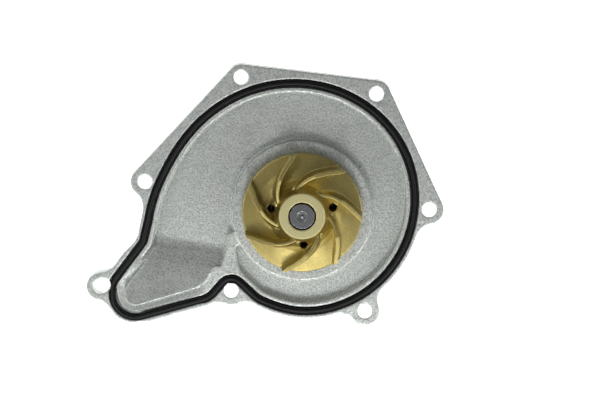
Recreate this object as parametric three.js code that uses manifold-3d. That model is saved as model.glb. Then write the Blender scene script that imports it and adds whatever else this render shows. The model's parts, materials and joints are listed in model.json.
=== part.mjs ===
// Engine coolant pump: a die-cast cover whose front holds the volute, an open brass-coloured impeller, an integral
// shaft bearing, a mechanical shaft seal and the drive hub behind. Millimetres. +Z runs along the shaft from the drive
// hub to the impeller, +X and +Y lie in the flange plane, and the origin is on the shaft axis at the hub's outer face.
import * as THREE from "three";
import { mergeVertices } from "three/addons/utils/BufferGeometryUtils.js";
import Module from "manifold-3d";

const wasm = await Module();
wasm.setup();

// Heights along the shaft axis
const FLANGE_FACE = 66;
const FLANGE_BACK = 58;
const CHAMBER_FLOOR = FLANGE_FACE - 4.5;
const BOSS_TOP = FLANGE_FACE + 0.7;
const GROOVE_BOTTOM = FLANGE_FACE - 2.6;
const BEARING_BACK = 15.5;
const BEARING_FRONT = 49.5;
const SEAL_BORE_BOTTOM = 54.5;
const WEEP_HOLE_HEIGHT = 52;
const DISC_BACK = FLANGE_FACE + 2.7;
const DISC_RIM = FLANGE_FACE + 6;
const HUB_FACE = FLANGE_FACE + 17.5;

// Radii about the shaft axis
const BOSS_RADIUS = 33.6;
const BEARING_BOSS_RADIUS = 21.5;
const BEARING_RADIUS = 15;
const RACE_RADIUS = 13.45;
const SHAFT_RADIUS = 7.96;
const SHAFT_NOSE_RADIUS = 6.35;
const SEAL_BORE_RADIUS = 18.25;
const IMPELLER_RADIUS = 28.5;
const IMPELLER_HUB_RADIUS = 10.8;
const DRIVE_HUB_RADIUS = 30;
const WEEP_HOLE_RADIUS = 2;
const FIT_GAP = 0.15;

// Seal groove and cover outline
const GROOVE_HALF_WIDTH = 2;
const LAND_OFFSET = 4;
const LIP_OFFSET = 3.6;
const SEAL_HALF_WIDTH = 1.5;
const SEAL_HEIGHT = 3.8;
const SLOT_WALL = 0.5;
const LUG_RADIUS = 6.9;
const BOLT_RADIUS = 3.5;

// Fixing holes of the cover, in the flange plane
const BOLTS = {
  left: [-74.8, 13.9],
  topLeft: [-28.9, 63.8],
  topRight: [35.2, 55.8],
  right: [60.6, 0.4],
  outlet: [-96.1, -36.4],
  bottomLeft: [-34, -38.8],
  bottomRight: [30.1, -48.8],
};
const SLOT_HALF_STRETCH = 0.85;
const SLOT_ANGLE = 26;

// Radius of the groove's centreline on its spiral stretch: [angle, radius] pairs, opening from bottom to outlet.
const GROOVE_SPIRAL = [
  [250, 47.6],
  [270, 48.6],
  [300, 49.5],
  [330, 51],
  [360, 53.4],
  [395, 56.8],
  [430, 59.5],
  [465, 61.9],
  [495, 64.2],
  [520, 67.2],
  [543, 73.2],
];

const degrees = (angle) => THREE.MathUtils.degToRad(angle);
const polar = (radius, angle) =>
  new THREE.Vector2(radius * Math.cos(degrees(angle)), radius * Math.sin(degrees(angle)));
const points = (pairs) => pairs.map(([x, y]) => new THREE.Vector2(x, y));

// ---- Solids -------------------------------------------------------------------------------------------------------

// A closed three.js geometry as a solid, turned the right way out.
function solid(geometry) {
  const bare = geometry.clone();
  bare.deleteAttribute("normal");
  bare.deleteAttribute("uv");
  const merged = mergeVertices(bare, 1e-4);
  const triVerts = new Uint32Array(merged.index.array);
  const vertProperties = new Float32Array(merged.attributes.position.array);
  const made = new wasm.Manifold(new wasm.Mesh({ numProp: 3, vertProperties, triVerts }));
  if (made.volume() > 0) return made;
  const turned = triVerts.map((_, i) => triVerts[i - (i % 3) + [0, 2, 1][i % 3]]);
  return new wasm.Manifold(new wasm.Mesh({ numProp: 3, vertProperties, triVerts: turned }));
}

function geometryOf(made) {
  const { vertProperties, triVerts, numProp, numVert } = made.getMesh();
  const positions = new Float32Array(numVert * 3);
  for (let i = 0; i < numVert; i++) {
    positions.set(vertProperties.subarray(i * numProp, i * numProp + 3), i * 3);
  }
  const geometry = new THREE.BufferGeometry();
  geometry.setAttribute("position", new THREE.BufferAttribute(positions, 3));
  geometry.setIndex(new THREE.BufferAttribute(new Uint32Array(triVerts), 1));
  geometry.computeVertexNormals();
  return geometry;
}

// A flat outline, with its holes, standing between two heights.
function slab(outline, bottom, top, holes = []) {
  const shape = new THREE.Shape(outline);
  holes.forEach((hole) => shape.holes.push(new THREE.Path(hole)));
  const geometry = new THREE.ExtrudeGeometry(shape, { depth: top - bottom, bevelEnabled: false });
  return solid(geometry.translate(0, 0, bottom));
}

// A profile of [radius, height] pairs turned about the shaft axis. A ring's profile closes on itself.
function turned(profile, segments = 36) {
  const first = profile[0];
  const closed = first[0] > 0 ? [...profile, first] : profile;
  return solid(new THREE.LatheGeometry(points(closed), segments).rotateX(Math.PI / 2));
}

const ring = (inner, outer, bottom, top, segments = 28) =>
  turned([[inner, bottom], [outer, bottom], [outer, top], [inner, top]], segments);

const disc = (radius, bottom, top, segments = 36) =>
  turned([[0, bottom], [radius, bottom], [radius, top], [0, top]], segments);

const circle = ([x, y], radius, segments = 18) =>
  Array.from({ length: segments }, (_, i) => polar(radius, (360 * i) / segments).add(new THREE.Vector2(x, y)));

const join = (first, ...rest) => rest.reduce((sum, part) => sum.add(part), first);
const cut = (body, ...tools) => tools.reduce((left, tool) => left.subtract(tool), body);

// ---- Flat outlines ------------------------------------------------------------------------------------------------

// Corners of [x, y, radius] joined by straight lines and arcs. A radius of 0 keeps the point as it is.
function rounded(corners) {
  const path = [];
  corners.forEach(([x, y, radius], i) => {
    const here = new THREE.Vector2(x, y);
    const before = corners.at(i - 1);
    const after = corners[(i + 1) % corners.length];
    const back = new THREE.Vector2(before[0] - x, before[1] - y).normalize();
    const ahead = new THREE.Vector2(after[0] - x, after[1] - y).normalize();
    if (!radius) {
      path.push(here);
      return;
    }
    const half = Math.acos(THREE.MathUtils.clamp(back.dot(ahead), -1, 1)) / 2;
    const middle = back.clone().add(ahead).normalize();
    const centre = here.clone().addScaledVector(middle, radius / Math.sin(half));
    const start = here.clone().addScaledVector(back, radius / Math.tan(half)).sub(centre);
    const sweep = (Math.PI - 2 * half) * Math.sign(back.cross(ahead)) * -1;
    const steps = Math.max(2, Math.ceil(Math.abs(sweep) / degrees(20)));
    for (let k = 0; k <= steps; k++) {
      path.push(start.clone().rotateAround(new THREE.Vector2(), (sweep * k) / steps).add(centre));
    }
  });
  return path;
}

// An anticlockwise outline moved inwards by a distance, or outwards by a negative one.
function inset(outline, distance) {
  const distinct = outline.filter((p, i) => p.distanceTo(outline.at(i - 1)) > 0.05);
  return distinct.map((p, i) => {
    const arrive = p.clone().sub(distinct.at(i - 1)).normalize();
    const leave = distinct[(i + 1) % distinct.length].clone().sub(p).normalize();
    const along = arrive.clone().add(leave).normalize();
    const inwards = new THREE.Vector2(-along.y, along.x);
    return p.clone().addScaledVector(inwards, distance / Math.max(0.5, along.dot(leave)));
  });
}

// The smallest convex outline round some points.
function hull(cloud) {
  const sorted = [...cloud].sort((a, b) => a.x - b.x || a.y - b.y);
  const chain = (list) => {
    const kept = [];
    for (const p of list) {
      while (kept.length > 1 && turn(kept.at(-2), kept.at(-1), p) <= 0) kept.pop();
      kept.push(p);
    }
    return kept.slice(0, -1);
  };
  return [...chain(sorted), ...chain(sorted.reverse())];
}

const turn = (a, b, c) => (b.x - a.x) * (c.y - a.y) - (b.y - a.y) * (c.x - a.x);

// The spiral's radius at an angle: a smooth curve through its pairs.
function grooveRadius(angle) {
  const count = GROOVE_SPIRAL.length;
  const place = GROOVE_SPIRAL.findIndex(([at]) => at > angle);
  const i = place < 0 ? count - 2 : Math.max(0, place - 1);
  const pair = (k) => GROOVE_SPIRAL[THREE.MathUtils.clamp(k, 0, count - 1)];
  const slope = (k) => (pair(k + 1)[1] - pair(k - 1)[1]) / (pair(k + 1)[0] - pair(k - 1)[0]);
  const [start, from] = pair(i);
  const [end, to] = pair(i + 1);
  const span = end - start;
  const t = (angle - start) / span;
  const rise = t * t * (3 - 2 * t);
  const bend = t * (1 - t) * span * (slope(i) * (1 - t) - slope(i + 1) * t);
  return from + (to - from) * rise + bend;
}

function spiral(from, to, step, inward = 0) {
  const count = Math.round((to - from) / step);
  return Array.from({ length: count + 1 }, (_, i) => {
    const angle = from + ((to - from) * i) / count;
    const { x, y } = polar(grooveRadius(angle) - inward, angle);
    return [x, y, 0];
  });
}

// Centreline of the seal groove: the spiral, then round the outlet, and back over the bottom left bolt.
const grooveLine = rounded([
  ...spiral(250, 543, 8),
  [-75.8, -14.9, 6],
  [-90.9, -35, 8],
  [-90.9, -55.2, 11],
  [-44.5, -42.1, 10],
  [-34.2, -30.3, 5.9],
  [-20.9, -42.9, 14],
]);

// Inner edge of the land: the wet chamber with its outlet channel, closed inside the round boss at the tongue.
const chamberLine = rounded([
  ...spiral(252, 543, 9, LAND_OFFSET),
  [-72, -16.7, 8],
  [-77.2, -23.5, 1],
  [-76.2, -25.6, 1],
  [-84.7, -36.4, 5],
  [-84.7, -47.3, 5.3],
  [-47.8, -36.4, 11],
  [-41.9, -26.6, 2],
  [-38.6, -26.9, 1.5],
  [-36.6, -19.5, 10],
  [-35.4, -11.2, 3],
  [-28.5, -9, 0],
  [-28.5, -15.5, 0],
  [-31.4, -17.5, 1],
  [-30.6, -28.2, 12],
  [-18.6, -39.6, 10],
]);

// ---- Cover --------------------------------------------------------------------------------------------------------

// The outlet's fixing hole is slightly long, so that the cover can settle on its other screws.
function slotOutline(radius) {
  const centre = new THREE.Vector2(...BOLTS.outlet);
  const ends = [-1, 1].map((side) => polar(side * SLOT_HALF_STRETCH, SLOT_ANGLE).add(centre));
  return hull(ends.flatMap((end) => circle([end.x, end.y], radius)));
}

function lug(name) {
  return name === "outlet" ? slotOutline(LUG_RADIUS) : circle(BOLTS[name], LUG_RADIUS);
}

function coverOutlines() {
  const web = (name, inner, radius) => hull([...lug(name), ...circle(inner, radius)]);
  return [
    inset(grooveLine, -LIP_OFFSET),
    hull([...lug("left"), ...lug("topLeft"), ...lug("topRight"), ...lug("right")]),
    web("outlet", [-84, -36], 9),
    web("bottomLeft", [-33, -28], 10),
    web("bottomRight", [21, -34], 13),
    web("right", [46, 4], 16),
    web("left", [-62, 11], 12),
  ];
}

// The outlet floor climbs from the chamber floor, past the land, to a plateau at the far end.
function outletRamp() {
  const start = new THREE.Vector2(-71, -14);
  const profile = points([[0, -2], [48, -2], [48, 9], [31, 9], [10.5, 4.6], [0, 0]]);
  const wedge = slab(profile, -37.5, 20);
  const stood = wedge.rotate([90, 0, 0]).rotate([0, 0, -96]);
  const placed = stood.translate([start.x, start.y, CHAMBER_FLOOR]);
  return placed.intersect(slab(chamberLine, CHAMBER_FLOOR - 1, FLANGE_FACE + 6));
}

function bearingHousing() {
  const boss = turned([
    [0, BEARING_BACK - 1],
    [BEARING_BOSS_RADIUS - 1, BEARING_BACK - 1],
    [BEARING_BOSS_RADIUS, BEARING_BACK + 1],
    [BEARING_BOSS_RADIUS + 2, FLANGE_BACK - 8],
    [BEARING_BOSS_RADIUS + 8, FLANGE_BACK + 1],
    [0, FLANGE_BACK + 1],
  ]);
  const ribs = Object.values(BOLTS).map(([x, y]) => {
    const reach = Math.hypot(x, y) - 8;
    const profile = points([[17, 30], [22, 30], [reach, FLANGE_BACK - 2], [reach, FLANGE_BACK + 1], [17, FLANGE_BACK + 1]]);
    const fin = slab(profile, -2, 2).rotate([90, 0, 0]);
    return fin.rotate([0, 0, THREE.MathUtils.radToDeg(Math.atan2(y, x))]);
  });
  return join(boss, ...ribs);
}

function outletSlot(radius) {
  return slab(slotOutline(radius), FLANGE_BACK - 6, FLANGE_FACE + 5);
}

function boltHoles() {
  const round = Object.entries(BOLTS).filter(([name]) => name !== "outlet");
  const bores = round.map(([, at]) => slab(circle(at, BOLT_RADIUS), FLANGE_BACK - 6, FLANGE_FACE + 5));
  return [...bores, outletSlot(BOLT_RADIUS)];
}

function coverSolid() {
  const plate = join(...coverOutlines().map((outline) => slab(outline, FLANGE_BACK, FLANGE_FACE)));
  const seats = Object.keys(BOLTS).map((name) => slab(lug(name), FLANGE_BACK - 1.5, FLANGE_BACK + 1));
  const channel = slab(inset(grooveLine, -GROOVE_HALF_WIDTH), GROOVE_BOTTOM, FLANGE_FACE + 1, [
    inset(grooveLine, GROOVE_HALF_WIDTH),
  ]);
  const groove = channel.subtract(outletSlot(BOLT_RADIUS + SLOT_WALL));
  const chamber = slab(chamberLine, CHAMBER_FLOOR, FLANGE_FACE + 1);
  const boss = disc(BOSS_RADIUS, CHAMBER_FLOOR - 1, BOSS_TOP, 48);
  const casting = join(plate, ...seats, bearingHousing());
  const wet = join(cut(casting, groove, chamber), boss, outletRamp());
  const weepDrill = slab(circle([0, 0], WEEP_HOLE_RADIUS, 12), 0, 40).rotate([90, 0, 0]);
  return cut(
    wet,
    ...boltHoles(),
    disc(BEARING_RADIUS + FIT_GAP, 0, BEARING_FRONT + 0.3),
    disc(12.5, BEARING_FRONT, SEAL_BORE_BOTTOM + 1),
    disc(SEAL_BORE_RADIUS, SEAL_BORE_BOTTOM, FLANGE_FACE + 5),
    weepDrill.translate([0, 0, WEEP_HOLE_HEIGHT]),
  );
}

function flangeSealSolid() {
  const outer = inset(grooveLine, -SEAL_HALF_WIDTH);
  const inner = inset(grooveLine, SEAL_HALF_WIDTH);
  const bead = slab(outer, GROOVE_BOTTOM + 0.1, GROOVE_BOTTOM + 0.1 + SEAL_HEIGHT, [inner]);
  return bead.subtract(outletSlot(BOLT_RADIUS + SLOT_WALL + 0.3));
}

// ---- Impeller -----------------------------------------------------------------------------------------------------

const VANE_COUNT = 7;
const VANE_WRAP = 62;
const FIRST_VANE_TIP = 96.7;
const VANE_HALF_WIDTH = 0.95;
const BALANCE_HOLE_ANGLES = [12, 170.7, 273.3];
const BALANCE_HOLE_CIRCLE = 14.9;
const BALANCE_HOLE_RADIUS = 1.9;

// Angle of a vane's centreline at a radius: it leans back against the turn from hub to rim.
function vaneAngle(radius) {
  const inward = (IMPELLER_RADIUS - radius) / (IMPELLER_RADIUS - 11);
  return FIRST_VANE_TIP + VANE_WRAP * Math.max(0, inward) ** 1.35;
}

function vaneOutline() {
  const line = [];
  for (let radius = IMPELLER_RADIUS + 0.6; radius > 9.4; radius -= 1.6) {
    line.push(polar(radius, vaneAngle(radius)));
  }
  const side = (sign) =>
    line.map((p, i) => {
      const before = line[Math.max(0, i - 1)];
      const along = line[Math.min(line.length - 1, i + 1)].clone().sub(before).normalize();
      return p.clone().add(new THREE.Vector2(-along.y, along.x).multiplyScalar(sign * VANE_HALF_WIDTH));
    });
  return [...side(1), ...side(-1).reverse()];
}

function impellerSolid() {
  const body = turned([
    [0, DISC_BACK],
    [IMPELLER_RADIUS, DISC_BACK],
    [IMPELLER_RADIUS, DISC_RIM],
    [22, DISC_RIM + 0.8],
    [16.5, DISC_RIM + 2.6],
    [13, DISC_RIM + 5.8],
    [11.4, DISC_RIM + 9],
    [IMPELLER_HUB_RADIUS, HUB_FACE],
    [0, HUB_FACE],
  ]);
  const crest = turned([
    [0, DISC_RIM - 2],
    [IMPELLER_RADIUS - 0.1, DISC_RIM - 2],
    [IMPELLER_RADIUS - 0.1, DISC_RIM + 7],
    [19.5, DISC_RIM + 8.4],
    [11, DISC_RIM + 7],
    [0, DISC_RIM + 7],
  ]);
  const blade = slab(vaneOutline(), DISC_RIM - 1, DISC_RIM + 10);
  const blades = Array.from({ length: VANE_COUNT }, (_, i) => blade.rotate([0, 0, (360 * i) / VANE_COUNT]));
  const vanes = blades.map((one) => one.intersect(crest));
  const holes = BALANCE_HOLE_ANGLES.map((angle) => {
    const { x, y } = polar(BALANCE_HOLE_CIRCLE, angle);
    return slab(circle([x, y], BALANCE_HOLE_RADIUS, 12), DISC_BACK - 1, DISC_RIM + 7);
  });
  return cut(
    join(body, ...vanes),
    ...holes,
    disc(SHAFT_NOSE_RADIUS + FIT_GAP, DISC_BACK - 1, HUB_FACE + 1),
    disc(12.4, DISC_BACK - 1, DISC_BACK + 1.8),
  );
}

// ---- Shaft, bearing and drive hub ---------------------------------------------------------------------------------

const BALL_ROW = 24.5;
const ROLLER_ROW = 39;
const BALL_COUNT = 9;
const ROLLER_COUNT = 10;
const BALL_RADIUS = 2.6;
const ROLLER_RADIUS = 2.6;
const ROLLER_LENGTH = 9;
const ELEMENT_CIRCLE = (SHAFT_RADIUS + RACE_RADIUS) / 2;
const HUB_HOLE_COUNT = 4;
const HUB_HOLE_CIRCLE = 22.5;
const HUB_HOLE_RADIUS = 3.4;

function shaftSolid() {
  const nose = HUB_FACE - 0.1;
  return turned([
    [0, 0],
    [SHAFT_RADIUS - 0.8, 0],
    [SHAFT_RADIUS, 0.8],
    [SHAFT_RADIUS, 52],
    [SHAFT_NOSE_RADIUS, 53],
    [SHAFT_NOSE_RADIUS, nose - 0.4],
    [SHAFT_NOSE_RADIUS - 0.4, nose],
    [1.6, nose],
    [0, nose - 1.4],
  ]);
}

function driveHubSolid() {
  const blank = turned([
    [0, 0],
    [DRIVE_HUB_RADIUS - 1, 0],
    [DRIVE_HUB_RADIUS, 1],
    [DRIVE_HUB_RADIUS, 7],
    [17, 7],
    [14, 9],
    [14, 14.2],
    [0, 14.2],
  ]);
  const holes = Array.from({ length: HUB_HOLE_COUNT }, (_, i) => {
    const { x, y } = polar(HUB_HOLE_CIRCLE, 45 + (360 * i) / HUB_HOLE_COUNT);
    return slab(circle([x, y], HUB_HOLE_RADIUS, 20), -1, 10);
  });
  return cut(blank, ...holes, disc(SHAFT_RADIUS + FIT_GAP, -1, 20));
}

// Pockets of a cage are the rolling elements with running room.
function cageSolid(halfWidth, row, pocket, count) {
  const band = ring(ELEMENT_CIRCLE - 1.1, ELEMENT_CIRCLE + 1.1, row - halfWidth, row + halfWidth);
  const pockets = Array.from({ length: count }, (_, i) => {
    const { x, y } = polar(ELEMENT_CIRCLE, (360 * i) / count);
    return pocket.rotate([0, 0, (360 * i) / count]).translate([x, y, row]);
  });
  return cut(band, ...pockets);
}

const ballPocket = () => solid(new THREE.CylinderGeometry(BALL_RADIUS + 0.3, BALL_RADIUS + 0.3, 6, 12).rotateZ(Math.PI / 2));

const rollerPocket = () => solid(new THREE.BoxGeometry(8, 2 * ROLLER_RADIUS + 0.5, ROLLER_LENGTH + 0.6));

// ---- Mechanical shaft seal ----------------------------------------------------------------------------------------

const SEAL_CASING_RADIUS = 18;
const SPRING_RADIUS = 14.6;
const SPRING_WIRE = 0.8;
const SPRING_TURNS = 2.5;

function sealCasingSolid() {
  return turned([
    [8.2, 57],
    [SEAL_CASING_RADIUS, 57],
    [SEAL_CASING_RADIUS, BOSS_TOP + 0.2],
    [20.4, BOSS_TOP + 0.2],
    [20.4, BOSS_TOP + 0.9],
    [SEAL_CASING_RADIUS - 0.8, BOSS_TOP + 0.9],
    [SEAL_CASING_RADIUS - 0.8, 57.8],
    [8.2, 57.8],
  ], 28);
}

function bellowsSolid() {
  return turned([
    [8.2, 58.1],
    [12.8, 58.1],
    [12.8, 59.2],
    [11.2, 59.6],
    [12.4, 60.8],
    [12.4, 62.2],
    [8.2, 62.2],
    [8.2, 61.2],
    [9.4, 60.6],
    [8.2, 59.4],
  ], 24);
}

class Helix extends THREE.Curve {
  getPoint(t) {
    const { x, y } = polar(SPRING_RADIUS, 360 * SPRING_TURNS * t);
    return new THREE.Vector3(x, y, 59 + 5.6 * t);
  }
}

function springSolid() {
  const wire = new THREE.Shape(circle([0, 0], SPRING_WIRE, 6));
  return solid(new THREE.ExtrudeGeometry(wire, { steps: 40, extrudePath: new Helix(), bevelEnabled: false }));
}

const sleeveSolid = () => ring(6.6, 7.1, 56.5, 70);
const seatBootSolid = () => turned([[7.3, 69.2], [11.2, 69.2], [11.2, 66.9], [12.2, 66.9], [12.2, 70.2], [7.3, 70.2]], 28);

// ---- Assembly -----------------------------------------------------------------------------------------------------

const FINISH = {
  castAluminium: { color: 0xb4b9b3, roughness: 0.55, metalness: 0.9 },
  brass: { color: 0xc3aa62, roughness: 0.35, metalness: 1 },
  steel: { color: 0x8a8d90, roughness: 0.3, metalness: 1 },
  rubber: { color: 0x1b1c1e, roughness: 0.8, metalness: 0 },
  cagePlastic: { color: 0x4a4436, roughness: 0.6, metalness: 0 },
  carbon: { color: 0x2c2c2e, roughness: 0.5, metalness: 0.1 },
  ceramic: { color: 0x55585c, roughness: 0.25, metalness: 0 },
};

function piece(name, finish, made) {
  const mesh = new THREE.Mesh(geometryOf(made), new THREE.MeshStandardMaterial(FINISH[finish]));
  mesh.name = name;
  return mesh;
}

function rollingElements(prefix, count, row, geometry) {
  const made = solid(geometry);
  return Array.from({ length: count }, (_, i) => {
    const mesh = piece(`${prefix}_${String(i + 1).padStart(2, "0")}`, "steel", made);
    const { x, y } = polar(ELEMENT_CIRCLE, (360 * i) / count);
    mesh.position.set(x, y, row);
    return mesh;
  });
}

const housing = new THREE.Group();
housing.add(
  piece("pump_housing", "castAluminium", coverSolid()),
  piece("flange_seal", "rubber", flangeSealSolid()),
  piece("bearing_outer_ring", "steel", ring(RACE_RADIUS, BEARING_RADIUS - FIT_GAP, BEARING_BACK, BEARING_FRONT)),
  piece("bearing_lip_seal_rear", "rubber", ring(SHAFT_RADIUS + 0.1, RACE_RADIUS - 0.2, 16.2, 18.2)),
  piece("bearing_lip_seal_front", "rubber", ring(SHAFT_RADIUS + 0.1, RACE_RADIUS - 0.2, 46.8, 48.8)),
  piece("shaft_seal_casing", "steel", sealCasingSolid()),
  piece("shaft_seal_bellows", "rubber", bellowsSolid()),
  piece("shaft_seal_spring", "steel", springSolid()),
  piece("shaft_seal_carbon_ring", "carbon", ring(8, 10.6, 62.6, 66)),
);

const rotor = new THREE.Group();
rotor.add(
  piece("pump_shaft", "steel", shaftSolid()),
  piece("impeller", "brass", impellerSolid()),
  piece("drive_hub", "steel", driveHubSolid()),
  piece("shaft_seal_sleeve", "brass", sleeveSolid()),
  piece("shaft_seal_seat_ring", "ceramic", ring(7.4, 10.9, 66.3, 68.9)),
  piece("shaft_seal_seat_boot", "rubber", seatBootSolid()),
);

const ballTrain = new THREE.Group();
ballTrain.add(
  piece("ball_cage", "cagePlastic", cageSolid(3.8, BALL_ROW, ballPocket(), BALL_COUNT)),
  ...rollingElements("bearing_ball", BALL_COUNT, BALL_ROW, new THREE.SphereGeometry(BALL_RADIUS, 10, 6)),
);

const rollerTrain = new THREE.Group();
const rollerShape = new THREE.CylinderGeometry(ROLLER_RADIUS, ROLLER_RADIUS, ROLLER_LENGTH, 12).rotateX(Math.PI / 2);
rollerTrain.add(
  piece("roller_cage", "cagePlastic", cageSolid(6.4, ROLLER_ROW, rollerPocket(), ROLLER_COUNT)),
  ...rollingElements("bearing_roller", ROLLER_COUNT, ROLLER_ROW, rollerShape),
);

const waterPump = new THREE.Group();
waterPump.add(housing, rotor, ballTrain, rollerTrain);

export default waterPump;
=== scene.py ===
"""Water pump of a car engine: a die-cast volute cover with its moulded seal, an open brass-coloured
impeller on a steel shaft, the shaft bearing and shaft seal inside, and the drive hub behind. The CAD frame
gives the bodies; every piece here is a finer mesh of one CAD node. Lengths are in millimetres until a mesh
is made."""

import json
import math

import bpy
import numpy as np
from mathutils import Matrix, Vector


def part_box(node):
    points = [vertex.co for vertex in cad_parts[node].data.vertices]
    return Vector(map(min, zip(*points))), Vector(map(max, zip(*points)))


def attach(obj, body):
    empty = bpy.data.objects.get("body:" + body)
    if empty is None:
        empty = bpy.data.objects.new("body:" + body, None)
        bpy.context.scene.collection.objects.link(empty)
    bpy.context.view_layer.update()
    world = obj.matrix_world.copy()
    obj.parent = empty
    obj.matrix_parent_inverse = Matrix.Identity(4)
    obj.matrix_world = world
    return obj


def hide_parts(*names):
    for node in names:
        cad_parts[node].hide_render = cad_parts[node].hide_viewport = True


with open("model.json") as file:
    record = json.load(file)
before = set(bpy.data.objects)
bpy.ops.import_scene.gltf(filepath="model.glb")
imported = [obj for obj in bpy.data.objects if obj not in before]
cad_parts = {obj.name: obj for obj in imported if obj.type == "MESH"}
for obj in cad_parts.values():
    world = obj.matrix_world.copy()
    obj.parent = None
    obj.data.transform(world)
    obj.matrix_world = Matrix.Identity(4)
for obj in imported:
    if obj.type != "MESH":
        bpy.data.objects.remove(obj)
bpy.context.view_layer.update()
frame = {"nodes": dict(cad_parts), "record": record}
MM = 0.001


def height(node, side):
    """The lowest (0) or highest (1) point of a CAD node, in millimetres."""
    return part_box(node)[side][2] / MM


def span_of(node):
    """Both ends of a CAD node along the shaft axis, in millimetres."""
    return height(node, 0), height(node, 1)


# Levels along the shaft axis, from the CAD frame
NOSE = height("pump_shaft", 1)
HUB_FACE = height("impeller", 1)
DISC_BACK = height("impeller", 0)
FLANGE_FACE = DISC_BACK - 2.7
FLANGE_BACK = FLANGE_FACE - 8
CHAMBER_FLOOR = FLANGE_FACE - 4.5
BOSS_TOP = FLANGE_FACE + 0.7
GROOVE_BOTTOM = height("flange_seal", 0) - 0.1
COVER_BACK = height("pump_housing", 0)
DISC_RIM = FLANGE_FACE + 6
BEARING_STOP = 49.8
SEAL_BORE_BOTTOM = 54.5
WEEP_HOLE_HEIGHT = 52

# Radii about the shaft axis, and offsets from the groove's centreline
BOSS_RADIUS = 33.6
BEARING_BOSS_RADIUS = 21.5
BEARING_RADIUS = 15
RACE_RADIUS = 13.45
SHAFT_RADIUS = 7.96
SHAFT_NOSE_RADIUS = 6.35
SEAL_BORE_RADIUS = 18.25
STOP_RADIUS = 12.5
WEEP_HOLE_RADIUS = 2
IMPELLER_RADIUS = 28.5
IMPELLER_HUB_RADIUS = 10.8
DRIVE_HUB_RADIUS = 30
FIT_GAP = 0.15
GROOVE_HALF_WIDTH = 2.0
LAND_OFFSET = 4.0
LIP_OFFSET = 3.55
BOLT_RADIUS = 3.5
FILLET_RADIUS = 8.5
SLOT_WALL = 0.5
RIM_DRAFT = 0.02
WALL_DRAFT = 0.03
EJECTOR_CIRCLE = 44
EJECTOR_RADIUS = 3
EJECTOR_DEPTH = 0.35
EJECTOR_ANGLES = (25, 85, 150, 210, 262, 335)
COVER_SEATS = FLANGE_BACK - 1.5
SEAT_TOP = 62
COVER_STEP = 0.42

# Fixing holes in the flange plane, and the radius of the lug round each
BOLTS = {
    "left": (-74.8, 13.9),
    "top_left": (-28.9, 63.8),
    "top_right": (35.2, 55.8),
    "right": (60.6, 0.4),
    "outlet": (-96.1, -36.4),
    "bottom_left": (-34.0, -38.8),
    "bottom_right": (30.1, -48.8),
}
LUG_RADII = {
    "left": 6.75,
    "top_left": 6.3,
    "top_right": 6.6,
    "right": 6.9,
    "outlet": 6.4,
    "bottom_left": 7.1,
    "bottom_right": 6.9,
}
SLOT_HALF_STRETCH = 0.85
SLOT_ANGLE = math.radians(26)

# Radius of the groove's centreline on its spiral stretch, which opens towards the outlet: (angle, radius)
GROOVE_SPIRAL = [
    (250, 47.6),
    (270, 48.6),
    (300, 49.5),
    (330, 51.0),
    (360, 53.4),
    (395, 56.8),
    (430, 59.5),
    (465, 61.9),
    (495, 64.2),
    (520, 67.2),
    (543, 73.2),
]


# ---- Outlines ----


def rounded(corners, arc_step=6):
    """Corners of (x, y, radius) joined by straight lines and arcs; a radius of 0 keeps the point."""
    path = []
    for i, (x, y, radius) in enumerate(corners):
        here = np.array((x, y), float)
        back = np.array(corners[i - 1][:2]) - here
        ahead = np.array(corners[(i + 1) % len(corners)][:2]) - here
        back = back / np.linalg.norm(back)
        ahead = ahead / np.linalg.norm(ahead)
        if not radius:
            path.append(here)
            continue
        half = math.acos(max(-1.0, min(1.0, float(back @ ahead)))) / 2
        middle = (back + ahead) / np.linalg.norm(back + ahead)
        centre = here + middle * radius / math.sin(half)
        start = here + back * radius / math.tan(half) - centre
        sweep = -(math.pi - 2 * half) * math.copysign(1, back[0] * ahead[1] - back[1] * ahead[0])
        steps = max(2, math.ceil(abs(sweep) / math.radians(arc_step)))
        for k in range(steps + 1):
            c, s = math.cos(sweep * k / steps), math.sin(sweep * k / steps)
            path.append(centre + (c * start[0] - s * start[1], s * start[0] + c * start[1]))
    return np.array(path)


def resampled(path, step):
    """A closed outline's points at an even spacing along it."""
    ring = np.vstack([path, path[:1]])
    along = np.concatenate([[0], np.cumsum(np.linalg.norm(np.diff(ring, axis=0), axis=1))])
    at = np.linspace(0, along[-1], int(along[-1] / step) + 1)[:-1]
    return np.column_stack([np.interp(at, along, ring[:, i]) for i in (0, 1)])


def inward_normals(path):
    """Unit normals of an anticlockwise outline, pointing inwards."""
    along = np.roll(path, -1, axis=0) - np.roll(path, 1, axis=0)
    along = along / np.linalg.norm(along, axis=1)[:, None]
    return np.column_stack([-along[:, 1], along[:, 0]])


def circle(centre, radius, count=72):
    turn = np.linspace(0, 2 * math.pi, count, endpoint=False)
    return np.column_stack([centre[0] + radius * np.cos(turn), centre[1] + radius * np.sin(turn)])


def round_the_axis(radius, angles):
    """Points at a radius about the shaft axis, at angles in degrees."""
    return [(radius * math.cos(math.radians(a)), radius * math.sin(math.radians(a))) for a in angles]


def hull(cloud):
    """The smallest convex outline round some points, anticlockwise."""
    order = sorted(map(tuple, cloud))

    def chain(points):
        kept = []
        for p in points:
            while len(kept) > 1 and cross(kept[-2], kept[-1], p) <= 0:
                kept.pop()
            kept.append(p)
        return kept[:-1]

    return np.array(chain(order) + chain(order[::-1]))


def cross(a, b, c):
    return (b[0] - a[0]) * (c[1] - a[1]) - (b[1] - a[1]) * (c[0] - a[0])


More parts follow.
